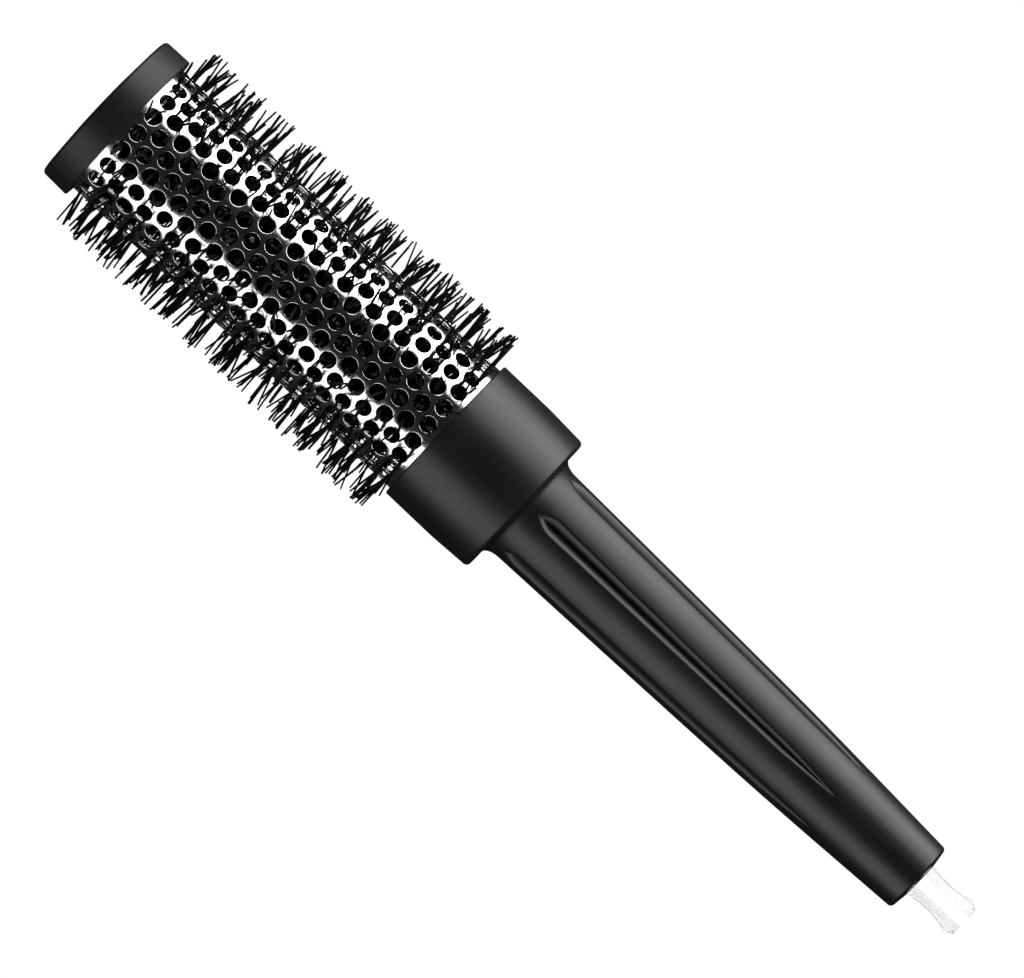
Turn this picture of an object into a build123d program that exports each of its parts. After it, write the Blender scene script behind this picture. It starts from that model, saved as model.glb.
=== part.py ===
from build123d import *
from math import atan2, cos, radians, sin
import os

# A round hairbrush with a perforated metal barrel. It lies along X: the end cap starts at X = 0,
# the handle points to +X, and the brush's axis is Y = Z = 0. Millimetres.

# Barrel: a thin perforated tube whose two ends sit in the cap and in the collar
barrel_radius = 16.5
barrel_wall = 0.7
barrel_shown = 89.8          # between the cap and the collar
barrel_fit = 0.05            # radial gap round the barrel's ends
hole_diameter = 3.6
hole_pitch = 4.0             # from one ring of holes to the next
holes_around = 22
hole_margin = 2.85           # cap to the centre of the first ring
hole_turn = 2.5              # degrees that the first ring is turned by

# End cap
cap_thickness = 7.2
cap_lip = 2.1                # how far the cap stands out from the barrel
cap_draft = 0.15             # the cap is this much narrower at its outer end
cap_dome = 0.6
cap_land = 9.0               # radius of the flat middle of the outer face
cap_socket = 4.0             # depth of barrel inside the cap
cap_edge = 0.9
bush_wall = 1.1
hub_wall = 1.8
hub_length = 4.6

# Stem: two wires twisted together, held at the tip, at the barrel's base and in the handle
wire_radius = 1.1
wire_gap = 0.06
twist_pitch = 14.0
stem_fit = 0.06
stem_tip_gap = 0.8
ferrule_length = 24.0
ferrule_wall = 1.1
ferrule_spare = 0.5          # bore left past the ferrule's end
plug_thickness = 4.0
plug_setback = 0.8           # from the collar's mouth to the plug

# Bristles: one row to each line of holes, fanning out from the stem
bristle_reach = 7.75         # tip height above the barrel
row_foot_width = 1.2
row_tip_width = 1.8
row_lift = 0.3               # clear height between the barrel and a row
row_overrun = 1.4            # how far a row runs past its end holes
tuft_foot_radius = 0.25
tuft_radius = 1.45           # where a tuft passes through its hole

# Collar: the cup between the barrel and the handle
collar_length = 22.7
collar_lip = 1.3             # how far the collar stands out from the barrel
collar_straight = 13.0
collar_taper = 0.45
collar_socket = 9.0
collar_web = 5.0
collar_edge = 1.1
mouth_edge = 0.4
barrel_end_gap = 0.2

# Handle
handle_length = 111.7
handle_head_radius = 11.5
handle_waist = 66.0          # from the collar to where the taper steepens
handle_waist_radius = 10.1
handle_end_radius = 8.2
handle_edge = 1.0
handle_dome = 0.5
flare_width = 1.7
flare_length = 3.4
head_slope = 0.0205          # fall of the radius along the handle, at its two ends
tail_slope = 0.046
land_margin = 0.6            # flat ring round the peg on the handle's end
spigot_gap = 0.2             # between the spigot and the pocket's floor
spigot_fit = 0.05
groove_count = 6
groove_turn = 3.0            # degrees
groove_start = 3.3           # from the collar
groove_end = 87.0            # where a groove runs out on the surface
groove_depth = 1.9
groove_half_width = 1.8

# Clear split peg in the handle's end
peg_radius = 3.2
peg_fit = 0.05
peg_shank = 24.0
peg_shoulder = 0.6           # how far the legs' roots stand out past the shank
peg_waist = 0.35             # how far the legs draw in between root and barb
peg_barb = 0.5               # how far the barb stands out past the roots
peg_tip = 0.4                # how far the tip draws in from the roots
peg_leg_length = 12.5
peg_barb_back = 1.8          # from the tip to the barb's edge
peg_slot = 2.7
peg_slot_inside = 2.4        # how far the slot runs into the handle
peg_seat_gap = 0.05
peg_bore_spare = 1.0
peg_chamfer = 0.4
peg_slot_corner = 1.0

# Places along the axis that several pieces share
barrel_start = cap_thickness - cap_socket
collar_start = cap_thickness + barrel_shown
collar_end = collar_start + collar_length
socket_floor = collar_start + collar_socket
pocket_floor = socket_floor + collar_web
barrel_length = socket_floor - barrel_end_gap - barrel_start
handle_end = collar_end + handle_length
stem_start = barrel_start + stem_tip_gap
stem_radius = 2 * wire_radius + wire_gap / 2
stem_bore = stem_radius + stem_fit
barrel_bore = barrel_radius - barrel_wall
first_ring = cap_thickness + hole_margin
ring_count = int((barrel_shown - 2 * hole_margin) / hole_pitch) + 1
ring_count -= ring_count % 2
cap_radius = barrel_radius + cap_lip
collar_radius = barrel_radius + collar_lip
bush_radius = stem_bore + bush_wall
ferrule_radius = stem_bore + ferrule_wall
spigot_radius = handle_head_radius + flare_width
spigot_start = pocket_floor + spigot_gap
ferrule_start = socket_floor + stem_fit
ferrule_end = ferrule_start + ferrule_length
hole_step = 360 / holes_around
peg_root_radius = peg_radius + peg_shoulder
peg_barb_radius = peg_root_radius + peg_barb
peg_tip_radius = peg_root_radius - peg_tip
peg_waist_radius = peg_root_radius - peg_waist

os.makedirs("parts", exist_ok=True)


def spoke(x, angle, radius=0.0):
    """A plane on a line that leaves the axis at x, turned by angle from +Z towards -Y."""
    outward = Vector(0, -sin(radians(angle)), cos(radians(angle)))
    return Plane(origin=Vector(x, 0, 0) + outward * radius, x_dir=(1, 0, 0), z_dir=outward)


# End cap: a shallow cup with a hub for the stem's tip
with BuildPart() as end_cap:
    with BuildSketch(Plane.XY):
        with BuildLine():
            outer_rim = (cap_dome, cap_radius - cap_draft)
            Line((0, 0), (0, cap_land))
            ThreePointArc(
                (0, cap_land),
                (cap_dome * 0.3, (cap_land + cap_radius) / 2),
                outer_rim,
            )
            Line(outer_rim, (cap_thickness, cap_radius))
            Line((cap_thickness, cap_radius), (cap_thickness, 0))
            Line((cap_thickness, 0), (0, 0))
        make_face()
    revolve(axis=Axis.X)
    fillet(end_cap.edges().filter_by(GeomType.CIRCLE).group_by(SortBy.RADIUS)[-2], cap_edge)
    with BuildSketch(Plane.YZ.offset(barrel_start)):
        Circle(barrel_radius + barrel_fit)
    extrude(amount=cap_socket, mode=Mode.SUBTRACT)
    with BuildSketch(Plane.YZ.offset(barrel_start)):
        Circle(bush_radius + stem_fit + hub_wall)
        Circle(bush_radius + stem_fit, mode=Mode.SUBTRACT)
    extrude(amount=hub_length)
end_cap.part.label = "end_cap"
export_step(end_cap.part, "parts/end_cap.step")

# Tip bush: the ring in the cap's hub that centres the stem
with BuildPart() as tip_bush:
    with BuildSketch(Plane.YZ.offset(barrel_start)):
        Circle(bush_radius)
        Circle(stem_bore, mode=Mode.SUBTRACT)
    extrude(amount=hub_length)
tip_bush.part.label = "tip_bush"
export_step(tip_bush.part, "parts/tip_bush.step")

# Perforated barrel: every second ring of holes is turned by half a step
hole_planes = []
for ring in range(ring_count):
    for place in range(holes_around):
        turn = (place + ring % 2 / 2) * hole_step - hole_turn
        hole_planes.append(spoke(first_ring + ring * hole_pitch, turn, barrel_radius))

with BuildPart() as barrel:
    with BuildSketch(Plane.YZ.offset(barrel_start)):
        Circle(barrel_radius)
        Circle(barrel_bore, mode=Mode.SUBTRACT)
    extrude(amount=barrel_length)
    with Locations(*hole_planes):
        Cylinder(hole_diameter / 2, 4 * barrel_wall, mode=Mode.SUBTRACT)
barrel.part.label = "barrel"
export_step(barrel.part, "parts/barrel.step")

# Barrel plug: the disc that closes the barrel's base round the stem
with BuildPart() as barrel_plug:
    with BuildSketch(Plane.YZ.offset(collar_start + plug_setback)):
        Circle(barrel_bore - barrel_fit)
        Circle(stem_bore, mode=Mode.SUBTRACT)
    extrude(amount=plug_thickness)
barrel_plug.part.label = "barrel_plug"
export_step(barrel_plug.part, "parts/barrel_plug.step")

# Twisted stem: two equal wires, half a turn apart
for number, side in enumerate((1, -1), start=1):
    coil = Helix(twist_pitch, ferrule_end - stem_start, wire_radius + wire_gap / 2)
    route = Plane(origin=(stem_start, 0, 0), x_dir=(0, side, 0), z_dir=(1, 0, 0)) * coil
    with BuildPart() as stem_wire:
        with BuildSketch(Plane(origin=route @ 0, z_dir=route % 0)):
            Circle(wire_radius)
        sweep(path=route, is_frenet=True)
    stem_wire.part.label = f"stem_wire_{number}"
    export_step(stem_wire.part, f"parts/stem_wire_{number}.step")

# Stem ferrule: the tube crimped on the stem's end and pressed into the handle
with BuildPart() as stem_ferrule:
    with BuildSketch(Plane.YZ.offset(ferrule_start)):
        Circle(ferrule_radius)
        Circle(stem_bore, mode=Mode.SUBTRACT)
    extrude(amount=ferrule_length)
stem_ferrule.part.label = "stem_ferrule"
export_step(stem_ferrule.part, "parts/stem_ferrule.step")

# Bristle rows: tufts that fan out from the stem, pass through a line of holes and join in a crest
row_start = first_ring - row_overrun
row_length = (ring_count - 1) * hole_pitch + 2 * row_overrun
row_foot = barrel_radius + row_lift
row_tip = barrel_radius + bristle_reach
tuft_foot = stem_radius + stem_fit
for row in range(holes_around):
    row_turn = row * hole_step - hole_turn
    with BuildPart() as bristle_row:
        crest_middle = row_start + row_length / 2
        with BuildSketch(spoke(crest_middle, row_turn, row_foot)):
            Rectangle(row_length, row_foot_width)
        with BuildSketch(spoke(crest_middle, row_turn, row_tip)):
            Rectangle(row_length, row_tip_width)
        loft()
        tuft_length = row_foot + row_lift - tuft_foot
        tufts = [
            spoke(first_ring + ring * hole_pitch, row_turn, tuft_foot + tuft_length / 2)
            for ring in range(0, ring_count, 2)
        ]
        with Locations(*tufts):
            Cone(tuft_foot_radius, tuft_radius, tuft_length)
    bristle_row.part.label = f"bristle_row_{row + 1:02d}"
    export_step(bristle_row.part, f"parts/bristle_row_{row + 1:02d}.step")

# Collar: the socket cup, with a pocket for the handle's spigot on the other side of its web
with BuildPart() as collar:
    with BuildSketch(Plane.XY):
        with BuildLine():
            Polyline(
                (collar_start, 0),
                (collar_start, collar_radius),
                (collar_start + collar_straight, collar_radius),
                (collar_end, collar_radius - collar_taper),
                (collar_end, 0),
                close=True,
            )
        make_face()
    revolve(axis=Axis.X)
    rims = collar.edges().filter_by(GeomType.CIRCLE).sort_by(Axis.X)
    fillet(rims[-1], collar_edge)
    fillet(collar.edges().filter_by(GeomType.CIRCLE).sort_by(Axis.X)[0], mouth_edge)
    with BuildSketch(Plane.YZ.offset(collar_start)):
        Circle(barrel_radius + barrel_fit)
    extrude(amount=collar_socket, mode=Mode.SUBTRACT)
    with BuildSketch(Plane.YZ.offset(pocket_floor)):
        Circle(spigot_radius + spigot_fit)
    extrude(amount=collar_end - pocket_floor, mode=Mode.SUBTRACT)
    with BuildSketch(Plane.YZ.offset(socket_floor)):
        Circle(ferrule_radius + stem_fit)
    extrude(amount=collar_web, mode=Mode.SUBTRACT)
collar.part.label = "collar"
export_step(collar.part, "parts/collar.step")

# Handle: spigot, flared head, two-stage taper, domed end, V grooves and two bores
head_start = (collar_end, spigot_radius)
head_end = (collar_end + flare_length, handle_head_radius)
waist = (collar_end + handle_waist, handle_waist_radius)
tail = (handle_end - handle_dome, handle_end_radius)
end_land = peg_root_radius + land_margin
groove_root_start = handle_head_radius - groove_depth
tail_share = (groove_end - handle_waist) / (handle_length - handle_dome - handle_waist)
groove_root_end = handle_waist_radius + tail_share * (handle_end_radius - handle_waist_radius)
groove_run = groove_end - groove_start
groove_tilt = atan2(groove_root_end - groove_root_start, groove_run)
cutter_height = 3 * groove_depth
cutter_half_width = 3 * groove_half_width


def groove_plane(angle):
    """The plane across a groove's start: local Y points out, local Z runs along the groove's root."""
    outward = Vector(0, -sin(radians(angle)), cos(radians(angle)))
    return Plane(
        origin=Vector(collar_end + groove_start, 0, 0) + outward * groove_root_start,
        x_dir=(0, cos(radians(angle)), sin(radians(angle))),
        z_dir=Vector(cos(groove_tilt), 0, 0) + outward * sin(groove_tilt),
    )


with BuildPart() as handle:
    with BuildSketch(Plane.XY):
        with BuildLine():
            Polyline((spigot_start, 0), (spigot_start, spigot_radius), head_start)
            TangentArc(head_end, head_start, tangent=(-1, 0))
            Spline(head_end, waist, tail, tangents=((1, -head_slope), (1, -tail_slope)))
            Polyline(tail, (handle_end, end_land), (handle_end, 0), (spigot_start, 0))
        make_face()
    revolve(axis=Axis.X)
    fillet(handle.edges().filter_by(GeomType.CIRCLE).sort_by(Axis.X)[-2], handle_edge)
    for groove in range(groove_count):
        with BuildSketch(groove_plane(groove * 360 / groove_count - groove_turn)):
            Polygon(
                (0, 0),
                (cutter_half_width, cutter_height),
                (-cutter_half_width, cutter_height),
                align=None,
            )
        extrude(amount=groove_run + groove_depth, mode=Mode.SUBTRACT)
    with BuildSketch(Plane.YZ.offset(spigot_start)):
        Circle(ferrule_radius + stem_fit)
    extrude(amount=ferrule_end + ferrule_spare - spigot_start, mode=Mode.SUBTRACT)
    with BuildSketch(Plane.YZ.offset(handle_end)):
        Circle(peg_radius + peg_fit)
    extrude(amount=-peg_shank - peg_bore_spare, mode=Mode.SUBTRACT)
handle.part.label = "handle"
export_step(handle.part, "parts/handle.step")

# Split peg: a shank in the handle's bore and two barbed legs that stand out of it
peg_seat = handle_end + peg_seat_gap
peg_start = peg_seat - peg_shank
peg_end = peg_seat + peg_leg_length
barb_x = peg_end - peg_barb_back
with BuildPart() as split_peg:
    with BuildSketch(Plane.XY):
        with BuildLine():
            Polyline(
                (peg_start, 0),
                (peg_start, peg_radius - peg_chamfer),
                (peg_start + peg_chamfer, peg_radius),
                (peg_seat, peg_radius),
                (peg_seat, peg_root_radius),
            )
            middle = ((peg_seat + barb_x) / 2, peg_waist_radius)
            ThreePointArc((peg_seat, peg_root_radius), middle, (barb_x, peg_barb_radius))
            Polyline(
                (barb_x, peg_barb_radius),
                (peg_end - peg_chamfer, peg_tip_radius),
                (peg_end, peg_tip_radius - peg_chamfer),
                (peg_end, 0),
                (peg_start, 0),
            )
        make_face()
    revolve(axis=Axis.X)
    slot_length = peg_leg_length + peg_slot_inside + peg_chamfer
    with BuildSketch(Plane.XY) as slot:
        with Locations((peg_end + peg_chamfer - slot_length / 2, 0)):
            Rectangle(slot_length, peg_slot)
        fillet(slot.vertices().group_by(Axis.X)[0], peg_slot_corner)
    extrude(amount=peg_barb_radius + peg_chamfer, both=True, mode=Mode.SUBTRACT)
split_peg.part.label = "split_peg"
export_step(split_peg.part, "parts/split_peg.step")
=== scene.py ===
import math
import random
import bmesh
import bpy
from mathutils import Matrix, Vector


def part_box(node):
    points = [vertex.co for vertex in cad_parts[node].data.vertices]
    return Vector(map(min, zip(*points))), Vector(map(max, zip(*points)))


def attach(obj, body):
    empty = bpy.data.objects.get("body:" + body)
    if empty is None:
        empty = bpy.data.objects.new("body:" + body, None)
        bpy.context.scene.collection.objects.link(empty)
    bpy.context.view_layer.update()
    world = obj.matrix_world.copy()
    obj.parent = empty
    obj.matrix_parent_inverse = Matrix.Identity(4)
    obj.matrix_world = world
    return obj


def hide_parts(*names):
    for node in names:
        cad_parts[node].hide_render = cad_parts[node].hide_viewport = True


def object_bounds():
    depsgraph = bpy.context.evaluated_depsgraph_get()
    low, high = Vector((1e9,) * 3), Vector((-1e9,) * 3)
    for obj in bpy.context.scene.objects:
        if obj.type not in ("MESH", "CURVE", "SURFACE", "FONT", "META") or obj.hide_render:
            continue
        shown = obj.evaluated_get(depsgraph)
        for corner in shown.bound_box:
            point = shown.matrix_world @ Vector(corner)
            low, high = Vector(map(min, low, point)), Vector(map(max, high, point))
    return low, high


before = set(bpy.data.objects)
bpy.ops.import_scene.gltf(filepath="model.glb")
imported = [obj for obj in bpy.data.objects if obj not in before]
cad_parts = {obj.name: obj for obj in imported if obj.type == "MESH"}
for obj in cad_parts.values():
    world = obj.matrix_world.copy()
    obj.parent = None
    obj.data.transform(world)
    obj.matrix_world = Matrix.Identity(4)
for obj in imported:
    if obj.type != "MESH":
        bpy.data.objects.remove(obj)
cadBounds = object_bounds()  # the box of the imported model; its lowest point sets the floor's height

scene = bpy.context.scene
axisX = Vector((1, 0, 0))
mm = 0.001

# places along the brush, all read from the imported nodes
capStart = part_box("end_cap")[0].x
barrelStart, barrelEnd = (corner.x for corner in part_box("barrel"))
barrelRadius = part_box("barrel")[1].y
collarStart, collarEnd = (corner.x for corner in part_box("collar"))
handleStart, handleEnd = (corner.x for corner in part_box("handle"))
print("frame loaded:", len(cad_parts), "nodes")


# shared helpers
def roundCorners(corners, segments=5):
    # corners are (x, radius, roundness); each rounded one becomes a short arc
    outline = []
    last = len(corners) - 1
    for index, (x, y, size) in enumerate(corners):
        here = Vector((x, y))
        if size == 0 or index in (0, last):
            outline.append(here)
            continue
        before = (Vector(corners[index - 1][:2]) - here).normalized()
        after = (Vector(corners[index + 1][:2]) - here).normalized()
        half = before.angle(after) / 2
        reach = size / math.tan(half)
        centre = here + (before + after).normalized() * size / math.sin(half)
        first, final = here + before * reach - centre, here + after * reach - centre
        sweep = first.angle_signed(final)
        for step in range(segments + 1):
            turn = -sweep * step / segments
            outline.append(centre + Matrix.Rotation(turn, 2) @ first)
    return outline


def spinOutline(outline, steps, closed=False):
    # turns an outline of (x, radius) points about the brush's axis, from +Z towards -Y
    bm = bmesh.new()
    points = [bm.verts.new((x, 0, radius)) for x, radius in outline]
    edges = [bm.edges.new(pair) for pair in zip(points, points[1:])]
    if closed:
        edges.append(bm.edges.new((points[-1], points[0])))
    sweep = {"cent": (0, 0, 0), "axis": axisX, "angle": math.tau, "steps": steps}
    bmesh.ops.spin(bm, geom=points + edges, **sweep, use_merge=True)
    return bm


def makePiece(bm, name, body, material, nodes, sharp=32):
    bmesh.ops.remove_doubles(bm, verts=bm.verts, dist=1e-6)
    bmesh.ops.recalc_face_normals(bm, faces=bm.faces)
    mesh = bpy.data.meshes.new(name)
    bm.to_mesh(mesh)
    bm.free()
    mesh.shade_smooth()
    mesh.set_sharp_from_angle(angle=math.radians(sharp))
    piece = bpy.data.objects.new(name, mesh)
    scene.collection.objects.link(piece)
    mesh.materials.append(material)
    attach(piece, body)
    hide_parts(*nodes)
    print("made", name, "with", len(mesh.polygons), "faces")
    return piece


def coat(node, material):
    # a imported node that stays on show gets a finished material
    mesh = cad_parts[node].data
    mesh.materials.clear()
    mesh.materials.append(material)


def startMaterial(name):
    material = bpy.data.materials.new(name)
    material.use_nodes = True
    tree = material.node_tree
    return material, tree, tree.nodes["Principled BSDF"]


def grain(tree, scale, detail=3.0, stretch=(1, 1, 1)):
    # noise on object coordinates, in cycles to the metre
    place = tree.nodes.new("ShaderNodeTexCoord")
    mapping = tree.nodes.new("ShaderNodeMapping")
    mapping.inputs["Scale"].default_value = stretch
    noise = tree.nodes.new("ShaderNodeTexNoise")
    noise.inputs["Scale"].default_value = scale
    noise.inputs["Detail"].default_value = detail
    noise.inputs["Roughness"].default_value = 0.5
    tree.links.new(place.outputs["Object"], mapping.inputs["Vector"])
    tree.links.new(mapping.outputs["Vector"], noise.inputs["Vector"])
    return noise.outputs["Fac"]


def spread(tree, source, low, high, start=0.3, end=0.7):
    # maps a noise onto a range of values
    remap = tree.nodes.new("ShaderNodeMapRange")
    remap.inputs["From Min"].default_value = start
    remap.inputs["From Max"].default_value = end
    remap.inputs["To Min"].default_value = low
    remap.inputs["To Max"].default_value = high
    tree.links.new(source, remap.inputs["Value"])
    return remap.outputs["Result"]


def tint(tree, source, dark, light, start=0.3, end=0.7):
    ramp = tree.nodes.new("ShaderNodeValToRGB")
    ramp.color_ramp.elements[0].position = start
    ramp.color_ramp.elements[0].color = (*dark, 1)
    ramp.color_ramp.elements[1].position = end
    ramp.color_ramp.elements[1].color = (*light, 1)
    tree.links.new(source, ramp.inputs["Fac"])
    return ramp.outputs["Color"]


def emboss(tree, source, height):
    bump = tree.nodes.new("ShaderNodeBump")
    bump.inputs["Distance"].default_value = height
    bump.inputs["Strength"].default_value = 1
    tree.links.new(source, bump.inputs["Height"])
    return bump.outputs["Normal"]


# materials
def mouldedPlastic(name, dark, light, roughLow, roughHigh, grainHeight, specular):
    # moulded black plastic: fine spark grain, slow gloss changes and faint flow lines along the brush
    material, tree, shader = startMaterial(name)
    flow = grain(tree, 220, 4, stretch=(0.12, 1, 1))
    slow = grain(tree, 70, 3)
    fine = grain(tree, 5200, 2)
    tree.links.new(tint(tree, flow, dark, light), shader.inputs["Base Color"])
    tree.links.new(spread(tree, slow, roughLow, roughHigh), shader.inputs["Roughness"])
    tree.links.new(emboss(tree, fine, grainHeight), shader.inputs["Normal"])
    shader.inputs["Specular IOR Level"].default_value = specular
    return material


def polishedAluminium(name):
    # polished tube: bright, with faint drawing lines along it and soft cloudy patches
    material, tree, shader = startMaterial(name)
    lines = grain(tree, 2600, 3, stretch=(0.02, 1, 1))
    clouds = grain(tree, 260, 4)
    tree.links.new(tint(tree, clouds, (0.78, 0.79, 0.79), (0.9, 0.905, 0.91)), shader.inputs["Base Color"])
    tree.links.new(spread(tree, lines, 0.11, 0.2), shader.inputs["Roughness"])
    tree.links.new(emboss(tree, lines, 0.000004), shader.inputs["Normal"])
    shader.inputs["Metallic"].default_value = 1
    return material


def drawnSteel(name):
    material, tree, shader = startMaterial(name)
    lines = grain(tree, 1800, 3, stretch=(0.05, 1, 1))
    tree.links.new(tint(tree, lines, (0.38, 0.38, 0.39), (0.6, 0.6, 0.61)), shader.inputs["Base Color"])
    tree.links.new(spread(tree, lines, 0.25, 0.42), shader.inputs["Roughness"])
    tree.links.new(emboss(tree, lines, 0.00001), shader.inputs["Normal"])
    shader.inputs["Metallic"].default_value = 1
    return material


def blackNylon(name):
    # filaments: glossy black with slight changes of depth along each one
    material, tree, shader = startMaterial(name)
    streaks = grain(tree, 900, 2)
    tree.links.new(tint(tree, streaks, (0.0015,) * 3, (0.005,) * 3), shader.inputs["Base Color"])
    tree.links.new(spread(tree, streaks, 0.45, 0.65), shader.inputs["Roughness"])
    shader.inputs["Specular IOR Level"].default_value = 0.15
    return material


def clearPlastic(name):
    # clear moulding, slightly milky, with faint flow marks
    material, tree, shader = startMaterial(name)
    haze = grain(tree, 300, 3, stretch=(0.3, 1, 1))
    tree.links.new(tint(tree, haze, (0.9, 0.91, 0.91), (0.95, 0.96, 0.96)), shader.inputs["Base Color"])
    tree.links.new(spread(tree, haze, 0.005, 0.02), shader.inputs["Roughness"])
    shader.inputs["Transmission Weight"].default_value = 0.92
    shader.inputs["IOR"].default_value = 1.3
    shader.inputs["Specular IOR Level"].default_value = 0.3
    return material


# each black plastic: its darkest and lightest colour, roughness range, grain height and gloss
capBlack = mouldedPlastic("capBlack", (0.004,) * 3, (0.008,) * 3, 0.42, 0.5, 0.00002, 0.36)
handleShades = ((0.004, 0.004, 0.0041), (0.0075, 0.0075, 0.0076))
handleBlack = mouldedPlastic("handleBlack", *handleShades, 0.35, 0.42, 0.000008, 0.5)
innerGrey = mouldedPlastic("innerGrey", (0.03,) * 3, (0.05,) * 3, 0.45, 0.6, 0.00002, 0.4)
aluminium = polishedAluminium("polishedTube")
steelWire = drawnSteel("drawnSteel")
nylon = blackNylon("blackNylon")
clearPeg = clearPlastic("clearPeg")
print("materials ready")

# end cap
cap = {
    "radius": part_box("end_cap")[1].y,
    "draft": 0.15 * mm,
    "land": 9 * mm,
    "dome": 0.6 * mm,
    "edge": 0.9 * mm,
    "mouth": 7.2 * mm,
    "mouthEdge": 0.25 * mm,
    "socket": barrelRadius + 0.05 * mm,
    "hub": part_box("tip_bush")[1].y + 1.86 * mm,
    "hubBore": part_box("tip_bush")[1].y + 0.06 * mm,
    "steps": 128,
}


def makeEndCap(cap):
    floor = barrelStart
    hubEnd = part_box("tip_bush")[1].x
    corners = [
        (capStart, 0, 0),
        (capStart, cap["land"], 60 * mm),
        (capStart + cap["dome"], cap["radius"] - cap["draft"], cap["edge"]),
        (cap["mouth"], cap["radius"], cap["mouthEdge"]),
        (cap["mouth"], cap["socket"], 0.15 * mm),
        (floor, cap["socket"], 0.3 * mm),
        (floor, cap["hub"], 0.3 * mm),
        (hubEnd, cap["hub"], 0.3 * mm),
        (hubEnd, cap["hubBore"], 0),
        (floor, cap["hubBore"], 0),
        (floor, 0, 0),
    ]
    bm = spinOutline(roundCorners(corners), cap["steps"])
    return makePiece(bm, "endCap", "brush", capBlack, ["end_cap"])


makeEndCap(cap)

# collar
collar = {
    "radius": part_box("collar")[1].y,
    "straight": 13 * mm,
    "taper": 0.45 * mm,
    "edge": 1.1 * mm,
    "mouthEdge": 0.4 * mm,
    "socket": barrelRadius + 0.05 * mm,
    "socketDepth": 9 * mm,
    "web": 5 * mm,
    "pocket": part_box("handle")[1].y + 0.05 * mm,
    "bore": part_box("stem_ferrule")[1].y + 0.06 * mm,
    "steps": 128,
}


def makeCollar(collar):
    socketFloor = collarStart + collar["socketDepth"]
    pocketFloor = socketFloor + collar["web"]
    corners = [
        (socketFloor, collar["bore"], 0),
        (socketFloor, collar["socket"], 0.3 * mm),
        (collarStart, collar["socket"], 0.15 * mm),
        (collarStart, collar["radius"], collar["mouthEdge"]),
        (collarStart + collar["straight"], collar["radius"], 60 * mm),
        (collarEnd, collar["radius"] - collar["taper"], collar["edge"]),
        (collarEnd, collar["pocket"], 0),
        (pocketFloor, collar["pocket"], 0),
        (pocketFloor, collar["bore"], 0),
    ]
    bm = spinOutline(roundCorners(corners, 6), collar["steps"], closed=True)
    return makePiece(bm, "collar", "brush", handleBlack, ["collar"])


makeCollar(collar)

# handle
handle = {
    "headRadius": 11.5 * mm,
    "headSlope": -0.0205,
    "flareLength": 3.4 * mm,
    "waistAt": 66 * mm,  # from the collar
    "waistRadius": 10.1 * mm,
    "waistSlope": -0.0265,
    "endRadius": 8.2 * mm,
    "endSlope": -0.046,
    "edge": 1.0 * mm,
    "dome": 0.5 * mm,
    "endLand": 4.4 * mm,
    "spigot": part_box("handle")[1].y,
    "frontBore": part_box("stem_ferrule")[1].y + 0.06 * mm,
    "endBore": 3.25 * mm,
    "endBoreDepth": 25 * mm,
    "grooves": 6,
    "grooveTurn": math.radians(3),
    "grooveStart": 3.3 * mm,
    "grooveEnd": 87 * mm,
    "grooveRunIn": 4 * mm,
    "grooveDepth": 1.9 * mm,
    "grooveHalfWidth": 1.8 * mm,
    "grooveNarrows": 0.5,
    "grooveRunOut": 14 * mm,
    "lip": 0.16 * mm,
    "slit": 0.16,  # of the half width
    "slitFall": 0.72,  # of the depth, at the slit's edge
    "columns": 20,  # to each groove
    "stations": 64,
}


def blendCubic(start, end, startSlope, endSlope, length, share):
    # a cubic from start to end with a slope at each end
    a, b = share * share * (3 - 2 * share), share * (1 - share)
    rise = startSlope * length * b * (1 - share) - endSlope * length * b * share
    return start + (end - start) * a + rise


def handleRadius(x, handle):
    headX, waistX = collarEnd + handle["flareLength"], collarEnd + handle["waistAt"]
    tailX = handleEnd - handle["dome"]
    if x < headX:
        fall = 1 - max(0, (x - collarEnd) / handle["flareLength"])
        flare = handle["spigot"] - handle["headRadius"]
        return handle["headRadius"] + flare * (1 - math.sqrt(1 - fall**2))
    if x < waistX:
        share = (x - headX) / (waistX - headX)
        slopes = (handle["headSlope"], handle["waistSlope"], waistX - headX)
        return blendCubic(handle["headRadius"], handle["waistRadius"], *slopes, share)
    share = (x - waistX) / (tailX - waistX)
    slopes = (handle["waistSlope"], handle["endSlope"], tailX - waistX)
    return blendCubic(handle["waistRadius"], handle["endRadius"], *slopes, share)


def handleOutline(handle):
    tailX = handleEnd - handle["dome"]
    headX = collarEnd + handle["flareLength"]
    grooveX = collarEnd + handle["grooveStart"]
    runInEnd = grooveX + handle["grooveRunIn"]
    flare = [collarEnd + handle["flareLength"] * (1 - math.cos(step * math.pi / 16)) for step in range(9)]
    runIn = [grooveX + handle["grooveRunIn"] * step / 5 for step in range(5)]
    stretch = tailX - handle["edge"] * 1.2 - runInEnd
    taper = [runInEnd + stretch * step / handle["stations"] for step in range(handle["stations"] + 1)]
    skin = [(x, handleRadius(x, handle), 0) for x in flare + runIn + taper]
    boreFloor = handleEnd - handle["endBoreDepth"]
    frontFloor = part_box("stem_ferrule")[1].x + 0.5 * mm
    return [
        (frontFloor, 0, 0),
        (frontFloor, handle["frontBore"], 0),
        (handleStart, handle["frontBore"], 0),
        (handleStart, handle["spigot"], 0.3 * mm),
        *skin,
        (tailX, handle["endRadius"], handle["edge"]),
        (handleEnd, handle["endLand"], 2 * mm),
        (handleEnd, handle["endBore"], 0.25 * mm),
        (boreFloor, handle["endBore"], 0),
        (boreFloor, 0, 0),
    ]


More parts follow.
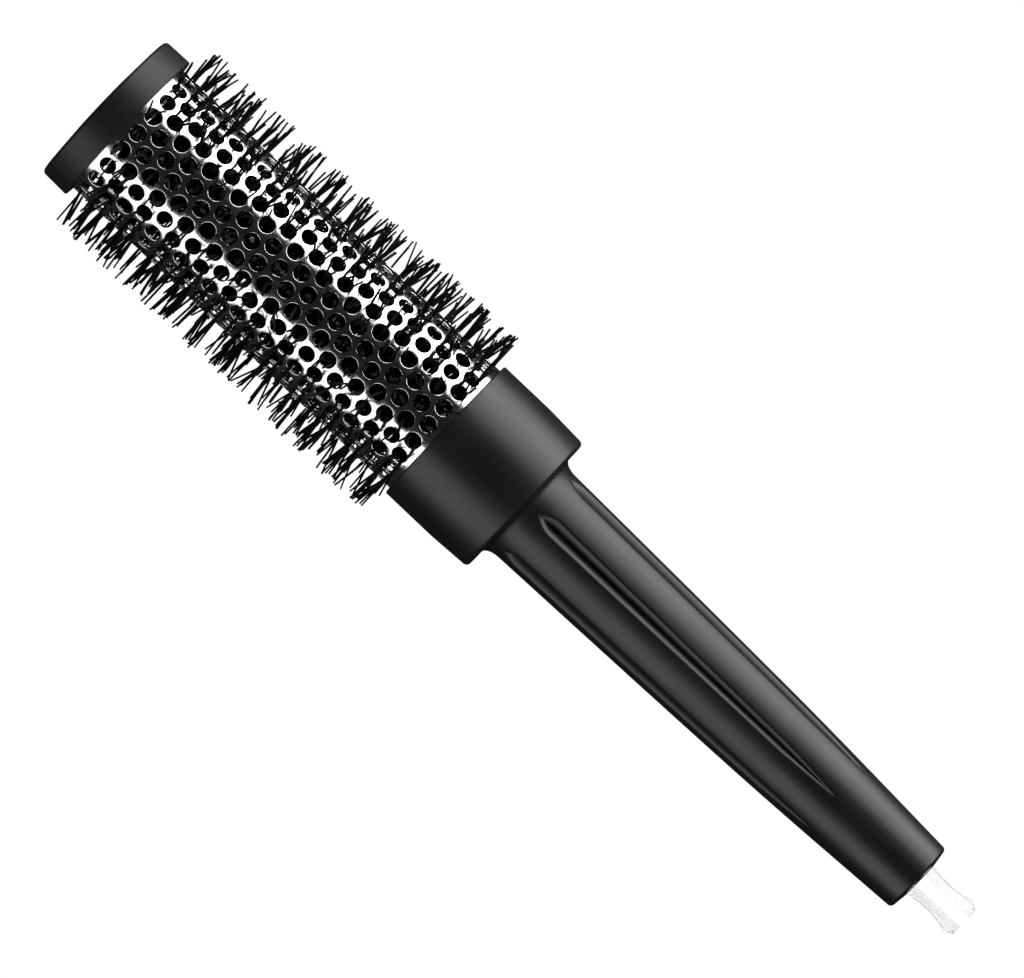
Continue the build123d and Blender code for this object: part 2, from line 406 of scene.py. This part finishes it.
def grooveWidth(x, handle):
    # half the groove's width: it narrows slowly, then closes in a short pointed run-out
    startX, endX = collarEnd + handle["grooveStart"], collarEnd + handle["grooveEnd"]
    share = min(max((x - startX) / (endX - startX), 0), 1)
    closing = min((endX - x) / handle["grooveRunOut"], 1)
    opening = min(max((x - startX) / handle["grooveRunIn"], 0.1), 1)
    narrowing = 1 - handle["grooveNarrows"] * share
    return handle["grooveHalfWidth"] * narrowing * max(closing, 0) ** 0.7 * math.sqrt(opening)


def pressGrooves(bm, handle):
    # slides the spun columns together along each groove's lips and presses the V in between them
    total = handle["grooves"] * handle["columns"]
    half = handle["columns"] // 2
    startX, endX = collarEnd + handle["grooveStart"], collarEnd + handle["grooveEnd"]
    for vert in bm.verts:
        x, radius = vert.co.x, math.hypot(vert.co.y, vert.co.z)
        if x < collarEnd - 1e-6 or radius < handle["endLand"] + 1e-5:
            continue
        angle = math.atan2(-vert.co.y, vert.co.z) % math.tau
        column = round(angle / math.tau * total)
        sector, place = divmod(column, handle["columns"])
        side = 1
        if place > half:
            sector, place, side = sector + 1, handle["columns"] - place, -1
        skin = handleRadius(min(x, handleEnd - handle["dome"]), handle)
        depth = handle["grooveDepth"] * grooveWidth(x, handle) / handle["grooveHalfWidth"]
        width = max(grooveWidth(x, handle), 0.3 * mm)
        lip = min(handle["lip"], width * 0.4)
        even = math.pi / handle["grooves"] * skin * place / half
        stops = [0, width * handle["slit"], width - lip, width + lip]
        room = math.pi / handle["grooves"] * skin - stops[3]
        near = stops[place] if place < 4 else stops[3] + room * (place - 3) / (half - 3)
        away = max((collarEnd + handle["grooveStart"] - x) / handle["flareLength"], (x - endX) / (10 * mm))
        away = min(max(away, 0), 1)
        offset = near + (even - near) * away
        runIn = min(max((x - startX) / handle["grooveRunIn"], 0), 1)
        runIn = math.sin(runIn * math.pi / 2)
        fall = max(1 - offset / width, 0)
        if place == 1:
            fall = handle["slitFall"]
        if place == 2:
            fall = lip / width
        press = depth * fall * runIn if startX <= x <= endX else 0
        turn = sector * math.tau / handle["grooves"] + side * offset / skin - handle["grooveTurn"]
        radius -= press
        vert.co = (x, -math.sin(turn) * radius, math.cos(turn) * radius)


def makeHandle(handle):
    steps = handle["grooves"] * handle["columns"]
    bm = spinOutline(roundCorners(handleOutline(handle)), steps)
    bmesh.ops.remove_doubles(bm, verts=bm.verts, dist=1e-6)
    pressGrooves(bm, handle)
    return makePiece(bm, "handle", "brush", handleBlack, ["handle"], 38)


makeHandle(handle)

# perforated barrel
barrel = {
    "wall": 0.7 * mm,
    "holeRadius": 1.8 * mm,
    "ringPitch": 4.0 * mm,
    "around": 22,
    "rings": 22,
    "firstRing": 10.05 * mm,
    "turn": math.radians(2.5),
    "acrossEdges": 8,  # edges of a cell round the tube; even, so staggered cells meet
    "alongEdges": 6,
    # rim of a hole: (how far out from the hole's wall, how deep below the skin)
    "rim": [(0.14 * mm, 0), (0.08 * mm, 0.01 * mm), (0.03 * mm, 0.04 * mm), (0, 0.1 * mm)],
}


def barrelCell(barrel):
    # one flat cell with its hole, skin at Z = 0, before it is bent round the tube
    bm = bmesh.new()
    bmesh.ops.create_grid(bm, x_segments=barrel["alongEdges"], y_segments=barrel["acrossEdges"], size=0.5)
    inside = [face for face in bm.faces]
    bmesh.ops.delete(bm, geom=inside, context="FACES_KEEP_BOUNDARY")
    across = math.tau * barrelRadius / barrel["around"]
    bmesh.ops.scale(bm, vec=(barrel["ringPitch"], across, 1), verts=bm.verts)
    border = list(bm.edges)
    segments = len(border)
    out, deep = barrel["rim"][0]
    ring = bmesh.ops.create_circle(bm, segments=segments, radius=barrel["holeRadius"] + out)["verts"]
    loop = [edge for edge in bm.edges if edge not in border]
    bmesh.ops.rotate(bm, verts=ring, cent=(0, 0, 0), matrix=Matrix.Rotation(math.pi / segments, 3, "Z"))
    bmesh.ops.bridge_loops(bm, edges=border + loop)
    levels = barrel["rim"][1:] + [(0, barrel["wall"])]
    for out, deep in levels:
        made = bmesh.ops.extrude_edge_only(bm, edges=loop)["geom"]
        moved = [item for item in made if isinstance(item, bmesh.types.BMVert)]
        loop = [item for item in made if isinstance(item, bmesh.types.BMEdge)]
        loop = [edge for edge in loop if all(vert in moved for vert in edge.verts)]
        for vert in moved:
            flat = Vector((vert.co.x, vert.co.y, 0)).normalized() * (barrel["holeRadius"] + out)
            vert.co = (flat.x, flat.y, -deep)
    made = bmesh.ops.extrude_edge_only(bm, edges=border)["geom"]
    moved = [item for item in made if isinstance(item, bmesh.types.BMVert)]
    skirt = [item for item in made if isinstance(item, bmesh.types.BMEdge)]
    skirt = [edge for edge in skirt if all(vert in moved for vert in edge.verts)]
    bmesh.ops.translate(bm, vec=(0, 0, -barrel["wall"]), verts=moved)
    bmesh.ops.bridge_loops(bm, edges=skirt + loop)
    beyond = barrel["holeRadius"] + 0.15 * mm
    sides = [face for face in bm.faces if abs(face.normal.z) < 0.1]
    sides = [face for face in sides if face.calc_center_median().xy.length > beyond]
    sides = [face for face in sides if all(isBorder(vert, barrel, across) for vert in face.verts)]
    bmesh.ops.delete(bm, geom=sides, context="FACES_ONLY")
    return bm


def isBorder(vert, barrel, across):
    alongX = abs(abs(vert.co.x) - barrel["ringPitch"] / 2) < 1e-6
    return alongX or abs(abs(vert.co.y) - across / 2) < 1e-6


def bendRound(bm):
    # rolls the flat cell onto the tube, +Y going round towards -Y of the brush
    for vert in bm.verts:
        turn, radius = vert.co.y / barrelRadius, barrelRadius + vert.co.z
        vert.co = (vert.co.x, -math.sin(turn) * radius, math.cos(turn) * radius)


def makeBarrel(barrel):
    bm = barrelCell(barrel)
    bendRound(bm)
    step = math.tau / barrel["around"]
    bmesh.ops.rotate(bm, verts=bm.verts, cent=(0, 0, 0), matrix=Matrix.Rotation(-barrel["turn"], 3, "X"))
    bmesh.ops.translate(bm, vec=(barrel["firstRing"], 0, 0), verts=bm.verts)
    whole = bm.verts[:] + bm.edges[:] + bm.faces[:]
    turnBy, copies = math.tau - step, barrel["around"] - 1
    bmesh.ops.spin(bm, geom=whole, axis=axisX, cent=(0, 0, 0), angle=turnBy, steps=copies, use_duplicate=True)
    ring = bm.verts[:] + bm.edges[:] + bm.faces[:]
    for number in range(1, barrel["rings"]):
        copy = bmesh.ops.duplicate(bm, geom=ring)["geom"]
        moved = [item for item in copy if isinstance(item, bmesh.types.BMVert)]
        bmesh.ops.translate(bm, vec=(number * barrel["ringPitch"], 0, 0), verts=moved)
        if number % 2:
            bmesh.ops.rotate(bm, verts=moved, cent=(0, 0, 0), matrix=Matrix.Rotation(step / 2, 3, "X"))
    bmesh.ops.remove_doubles(bm, verts=bm.verts, dist=2e-6)
    # plain bands carry the outer and inner skins on to the tube's two ends
    for end in (barrelStart, barrelEnd):
        rims = [edge for edge in bm.edges if edge.is_boundary]
        rims = [edge for edge in rims if (edge.verts[0].co.x > barrelRadius * 2) == (end == barrelEnd)]
        made = bmesh.ops.extrude_edge_only(bm, edges=rims)["geom"]
        moved = [item for item in made if isinstance(item, bmesh.types.BMVert)]
        loops = [item for item in made if isinstance(item, bmesh.types.BMEdge)]
        loops = [edge for edge in loops if all(vert in moved for vert in edge.verts)]
        for vert in moved:
            vert.co.x = end
        bmesh.ops.bridge_loops(bm, edges=loops)
    return makePiece(bm, "barrel", "brush", aluminium, ["barrel"], 40)


makeBarrel(barrel)

# bristles
bristles = {
    "seed": 41,
    "radius": 0.27 * mm,
    "sides": 6,
    "lengths": 4,  # stretches along a filament, so that it can bend
    "perBundle": (2, 3),
    "bundleApart": 1.1 * mm,  # from the hole's middle to each bundle
    "loosePerHole": (1, 3),
    "emptyShare": 0.25,  # of the holes between the bundled rings
    "inner": 60,  # filaments to a row that stay inside the barrel
    "foot": 2.5 * mm,
    "tip": barrelRadius + 7.7 * mm,
    "tuftSpread": 0.3 * mm,  # how far a bundle's filaments stand from its middle
    "tuftLean": 0.15,  # a bundle's own lean, which its filaments share
    "strayShare": 0.3,
    "strayLean": 0.3,
    "tightLean": 0.06,
    "bend": 0.5 * mm,
    "bendOver": 8 * mm,  # height above the barrel at which the bend is full
    "uneven": 0.8 * mm,  # how much the full-length tips differ
    "shortShare": 0.25,
    "shortBy": (0.4, 2.6),  # millimetres
    "innerLean": 0.2,
    "innerShort": (0.4, 3),  # millimetres below the barrel's inner skin
}


def filamentPattern(bristles):
    # one straight filament, one unit long and thick, drawn in a little at its tip
    bm = bmesh.new()
    ring = bmesh.ops.create_circle(bm, segments=bristles["sides"], radius=1, cap_ends=True)["verts"]
    face = bm.faces[:][0]
    for _ in range(bristles["lengths"]):
        made = bmesh.ops.extrude_face_region(bm, geom=[face])["geom"]
        face = next(item for item in made if isinstance(item, bmesh.types.BMFace))
        bmesh.ops.translate(bm, vec=(0, 0, 1 / bristles["lengths"]), verts=face.verts)
    bmesh.ops.scale(bm, vec=(0.8, 0.8, 1), verts=face.verts)
    bmesh.ops.recalc_face_normals(bm, faces=bm.faces)
    mesh = bpy.data.meshes.new("filamentPattern")
    bm.to_mesh(mesh)
    bm.free()
    return mesh


def addFilament(bm, pattern, bristles, rng, x, turn, reach, offsets):
    # offsets: where it crosses the barrel (along, around), its lean and its bend
    first = len(bm.verts)
    bm.from_mesh(pattern)
    bm.verts.ensure_lookup_table()
    (along, around), (leanX, leanY), (bendX, bendY) = offsets
    outward = Vector((0, -math.sin(turn), math.cos(turn)))
    sideways = Vector((0, -math.cos(turn), -math.sin(turn)))
    foot, radius = bristles["foot"], bristles["radius"] * rng.uniform(0.9, 1.1)
    for index in range(first, len(bm.verts)):
        point = bm.verts[index].co.copy()
        height = foot + (reach - foot) * point.z
        out = height - barrelRadius
        curl = (out / bristles["bendOver"]) ** 2 if out > 0 else 0
        alongX = x + along + leanX * out + bendX * curl + point.x * radius
        aroundY = around + leanY * out + bendY * curl + point.y * radius
        bm.verts[index].co = axisX * alongX + outward * height + sideways * aroundY


def somewhere(rng, radius):
    away, way = radius * math.sqrt(rng.random()), rng.uniform(0, math.tau)
    return away * math.cos(way), away * math.sin(way)


def makeBristleRows(bristles, barrel):
    rng = random.Random(bristles["seed"])
    pattern = filamentPattern(bristles)
    step = math.tau / barrel["around"]
    room = barrel["holeRadius"] - bristles["radius"] * 1.3
    bundles = [(-bristles["bundleApart"], 0), (bristles["bundleApart"], 0)]
    for row in range(barrel["around"]):
        bm = bmesh.new()
        for ring in range(barrel["rings"]):
            turn = (row + ring % 2 / 2) * step - barrel["turn"]
            x = barrel["firstRing"] + ring * barrel["ringPitch"]
            tufts = [(middle, rng.randint(*bristles["perBundle"])) for middle in bundles]
            if ring % 2 == 0:
                empty = rng.random() < bristles["emptyShare"]
                count = 0 if empty else rng.randint(*bristles["loosePerHole"])
                tufts = [(somewhere(rng, room - bristles["tuftSpread"]), count)]
            for middle, count in tufts:
                tuftLean = [rng.uniform(-1, 1) * bristles["tuftLean"] for _ in range(2)]
                for _ in range(count):
                    offset = somewhere(rng, bristles["tuftSpread"])
                    crossing = [a + b for a, b in zip(middle, offset)]
                    stray = rng.random() < bristles["strayShare"]
                    play = bristles["strayLean"] if stray else bristles["tightLean"]
                    leanX = tuftLean[0] + rng.uniform(-1, 1) * play
                    leanY = tuftLean[1] + rng.uniform(-0.5, 0.5) * play
                    lean = (leanX, leanY)
                    bend = [rng.uniform(-0.5, 0.5) * bristles["bend"] for _ in range(2)]
                    reach = bristles["tip"] - rng.uniform(0, bristles["uneven"])
                    if rng.random() < bristles["shortShare"]:
                        reach -= rng.uniform(*bristles["shortBy"]) * mm
                    addFilament(bm, pattern, bristles, rng, x, turn, reach, (crossing, lean, bend))
        firstX, span = barrel["firstRing"], (barrel["rings"] - 1) * barrel["ringPitch"]
        for _ in range(bristles["inner"]):
            turn = (row + rng.random()) * step
            lean = (rng.uniform(-bristles["innerLean"], bristles["innerLean"]), 0)
            reach = barrelRadius - barrel["wall"] - rng.uniform(*bristles["innerShort"]) * mm
            x = firstX + span * rng.random()
            addFilament(bm, pattern, bristles, rng, x, turn, reach, ((0, 0), lean, (0, 0)))
        node = f"bristle_row_{row + 1:02d}"
        makePiece(bm, f"bristleRow{row + 1:02d}", "brush", nylon, [node], 50)
    bpy.data.meshes.remove(pattern)


makeBristleRows(bristles, barrel)

# split peg
peg = {
    "seat": handleEnd + 0.05 * mm,
    "shank": 3.2 * mm,
    "legRoot": 3.8 * mm,
    "waist": 3.45 * mm,
    "barb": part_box("split_peg")[1].y,
    "barbBack": 1.8 * mm,
    "tip": 3.4 * mm,
    "chamfer": 0.4 * mm,
    "slot": 2.7 * mm,
    "slotInside": 2.4 * mm,
    "slotCorner": 1 * mm,
    "edge": 0.18 * mm,
    "steps": 64,
}


def makePeg(peg):
    startX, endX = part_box("split_peg")[0].x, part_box("split_peg")[1].x
    barbX = endX - peg["barbBack"]
    middle = (peg["seat"] + barbX) / 2
    rise = (peg["barb"] - peg["waist"]) / (barbX - middle) ** 2
    fall = (peg["legRoot"] - peg["waist"]) / (middle - peg["seat"]) ** 2
    sweep = [peg["seat"] + (barbX - peg["seat"]) * step / 12 for step in range(1, 12)]
    corners = [
        (startX, 0, 0),
        (startX, peg["shank"], peg["chamfer"]),
        (peg["seat"], peg["shank"], 0),
        (peg["seat"], peg["legRoot"], 0.15 * mm),
        *[(x, peg["waist"] + (rise if x > middle else fall) * (x - middle) ** 2, 0) for x in sweep],
        (barbX, peg["barb"], 0.15 * mm),
        (endX, peg["tip"] - 0.1 * mm, 0.3 * mm),
        (endX, 0, 0),
    ]
    bm = spinOutline(roundCorners(corners, 4), peg["steps"])
    bmesh.ops.remove_doubles(bm, verts=bm.verts, dist=1e-6)
    bmesh.ops.recalc_face_normals(bm, faces=bm.faces)
    body = bpy.data.meshes.new("pegBody")
    bm.to_mesh(body)
    bm.free()
    bm = bmesh.new()
    slotStart = peg["seat"] - peg["slotInside"]
    length = endX - slotStart + 4 * mm
    bmesh.ops.create_cube(bm, size=1)
    bmesh.ops.scale(bm, vec=(length, peg["slot"], 14 * mm), verts=bm.verts)
    bmesh.ops.translate(bm, vec=(slotStart + length / 2, 0, 0), verts=bm.verts)
    corner = [edge for edge in bm.edges if all(vert.co.x < slotStart + 1e-5 for vert in edge.verts)]
    corner = [edge for edge in corner if abs(edge.verts[0].co.z - edge.verts[1].co.z) > mm]
    bevel = {"offset": peg["slotCorner"], "offset_type": "OFFSET", "segments": 5}
    bmesh.ops.bevel(bm, geom=corner, **bevel, profile=0.5, affect="EDGES", material=-1)
    slotMesh = bpy.data.meshes.new("pegSlot")
    bm.to_mesh(slotMesh)
    bm.free()
    base = bpy.data.objects.new("pegBase", body)
    cutter = bpy.data.objects.new("pegCutter", slotMesh)
    scene.collection.objects.link(base)
    scene.collection.objects.link(cutter)
    cut = base.modifiers.new("slot", "BOOLEAN")
    cut.operation = "DIFFERENCE"
    cut.solver = "EXACT"
    cut.object = cutter
    soften = base.modifiers.new("soften", "BEVEL")
    soften.width = peg["edge"]
    soften.segments = 2
    soften.limit_method = "ANGLE"
    soften.angle_limit = math.radians(50)
    soften.harden_normals = False
    shown = bpy.context.evaluated_depsgraph_get()
    mesh = bpy.data.meshes.new_from_object(base.evaluated_get(shown))
    bm = bmesh.new()
    bm.from_mesh(mesh)
    for item in (base, cutter):
        bpy.data.objects.remove(item)
    for item in (body, slotMesh, mesh):
        bpy.data.meshes.remove(item)
    return makePiece(bm, "splitPeg", "peg", clearPeg, ["split_peg"], 40)


makePeg(peg)

# imported pieces that stay on show, with new materials
for node in ("stem_wire_1", "stem_wire_2", "stem_ferrule"):
    coat(node, steelWire)
for node in ("tip_bush", "barrel_plug"):
    coat(node, innerGrey)
print("inner pieces coated")

# studio
studio = {
    "backdropRadius": 6,
    "backdropGlow": 1.02,
    "world": 0.012,
    "lens": 565,
    "distance": 3.3,
    "tilt": math.radians(0.5),  # towards the handle's end
    "aim": Vector((115.4 * mm, 0.6 * mm, 0)),
    "roll": math.radians(43.48),
    "lightDistance": 0.75,
    "lightLength": 1.8,
    # name, where it starts and ends as angles from straight up towards +Y, brightness
    "lights": [
        ("keyPanel", 44, 111, 3.0),
        ("corePanel", 70, 92, 1.9),
        ("fillPanel", -40, -84, 1.8),
    ],
}


def makeBackdrop(studio):
    # a white floor under the brush and a white dome over it, which light nothing
    bm = bmesh.new()
    lowest = cadBounds[0][2] - 0.1 * mm
    radius = studio["backdropRadius"]
    arc = [math.radians(90 * step / 12) for step in range(13)]
    outline = [(0, 0)] + [(math.sin(angle) * radius, math.cos(angle) * radius) for angle in reversed(arc)]
    points = [bm.verts.new((away, 0, height)) for away, height in outline]
    edges = [bm.edges.new(pair) for pair in zip(points, points[1:])]
    sweep = {"cent": (0, 0, 0), "axis": (0, 0, 1), "angle": math.tau, "steps": 48}
    bmesh.ops.spin(bm, geom=points + edges, **sweep, use_merge=True)
    bmesh.ops.remove_doubles(bm, verts=bm.verts, dist=1e-5)
    bmesh.ops.recalc_face_normals(bm, faces=bm.faces)
    bmesh.ops.reverse_faces(bm, faces=bm.faces)
    bmesh.ops.translate(bm, vec=(studio["aim"].x, 0, lowest), verts=bm.verts)
    mesh = bpy.data.meshes.new("backdrop")
    bm.to_mesh(mesh)
    bm.free()
    backdrop = bpy.data.objects.new("backdrop", mesh)
    scene.collection.objects.link(backdrop)
    backdrop.visible_glossy = False
    backdrop.visible_diffuse = False
    backdrop.visible_shadow = False
    material, tree, shader = startMaterial("whiteBackdrop")
    shader.inputs["Base Color"].default_value = (0, 0, 0, 1)
    shader.inputs["Specular IOR Level"].default_value = 0
    shader.inputs["Emission Color"].default_value = (1, 1, 1, 1)
    shader.inputs["Emission Strength"].default_value = studio["backdropGlow"]
    mesh.materials.append(material)


def makeLights(studio):
    for name, start, end, brightness in studio["lights"]:
        middle = math.radians((start + end) / 2)
        half = math.radians(abs(end - start) / 2)
        width = 2 * studio["lightDistance"] * math.tan(half)
        lamp = bpy.data.lights.new(name, "AREA")
        lamp.shape = "RECTANGLE"
        lamp.size = studio["lightLength"]
        lamp.size_y = width
        lamp.energy = brightness * math.pi * width * studio["lightLength"]
        light = bpy.data.objects.new(name, lamp)
        scene.collection.objects.link(light)
        light.location = studio["aim"] + Vector((0, math.sin(middle), math.cos(middle))) * studio["lightDistance"]
        light.rotation_euler = (-middle, 0, 0)
        light.visible_camera = False
    world = scene.world or bpy.data.worlds.new("studioWorld")
    scene.world = world
    world.use_nodes = True
    world.node_tree.nodes["Background"].inputs["Color"].default_value = (1, 1, 1, 1)
    world.node_tree.nodes["Background"].inputs["Strength"].default_value = studio["world"]


def makeCamera(studio):
    lens = bpy.data.cameras.new("camera")
    lens.lens = studio["lens"]
    lens.sensor_width = 36
    camera = bpy.data.objects.new("camera", lens)
    scene.collection.objects.link(camera)
    tip = Matrix.Rotation(studio["tilt"], 4, "Y")
    camera.location = studio["aim"] + tip @ Vector((0, 0, studio["distance"]))
    camera.rotation_euler = (tip @ Matrix.Rotation(studio["roll"], 4, "Z")).to_euler()
    scene.camera = camera


makeBackdrop(studio)
makeLights(studio)
makeCamera(studio)
scene.view_settings.view_transform = "Standard"
print("studio ready")
